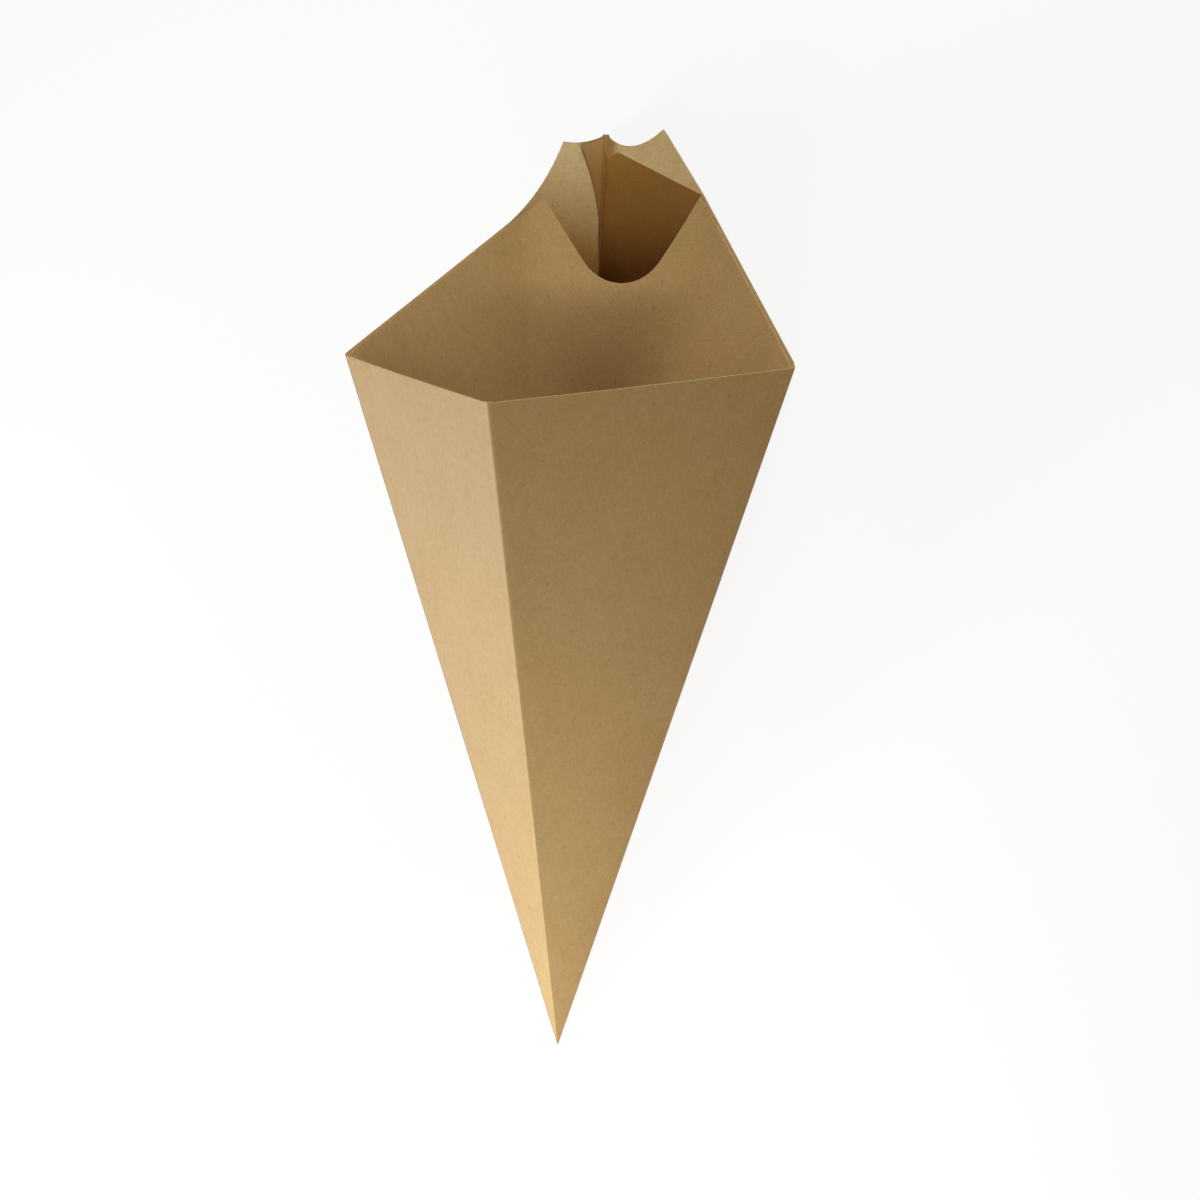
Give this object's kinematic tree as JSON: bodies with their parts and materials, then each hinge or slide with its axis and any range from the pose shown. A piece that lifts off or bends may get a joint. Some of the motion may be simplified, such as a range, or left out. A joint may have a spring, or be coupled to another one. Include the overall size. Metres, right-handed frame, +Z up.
{
  "type": "paper food cone",
  "caption": "Pointed take-away cone folded from brown kraft board, with an open mouth and a bowed divider that leaves a small sauce pocket at the back.",
  "frame": {"origin": "on the outer face of the back right panel, at the centre of its triangle below the front rim, where the cone rests", "axes": "+Z up from the surface that the cone lies on, +Y along the resting panel's middle from the tip towards the mouth, +X towards the right fold"},
  "size_m": [0.1012, 0.2323, 0.0879],
  "materials": {
    "kraft": "uncoated brown kraft board, matt, with fine fibres"
  },
  "bodies": {
    "root": {"paper_cone": "kraft"}
  },
  "joints": []
}
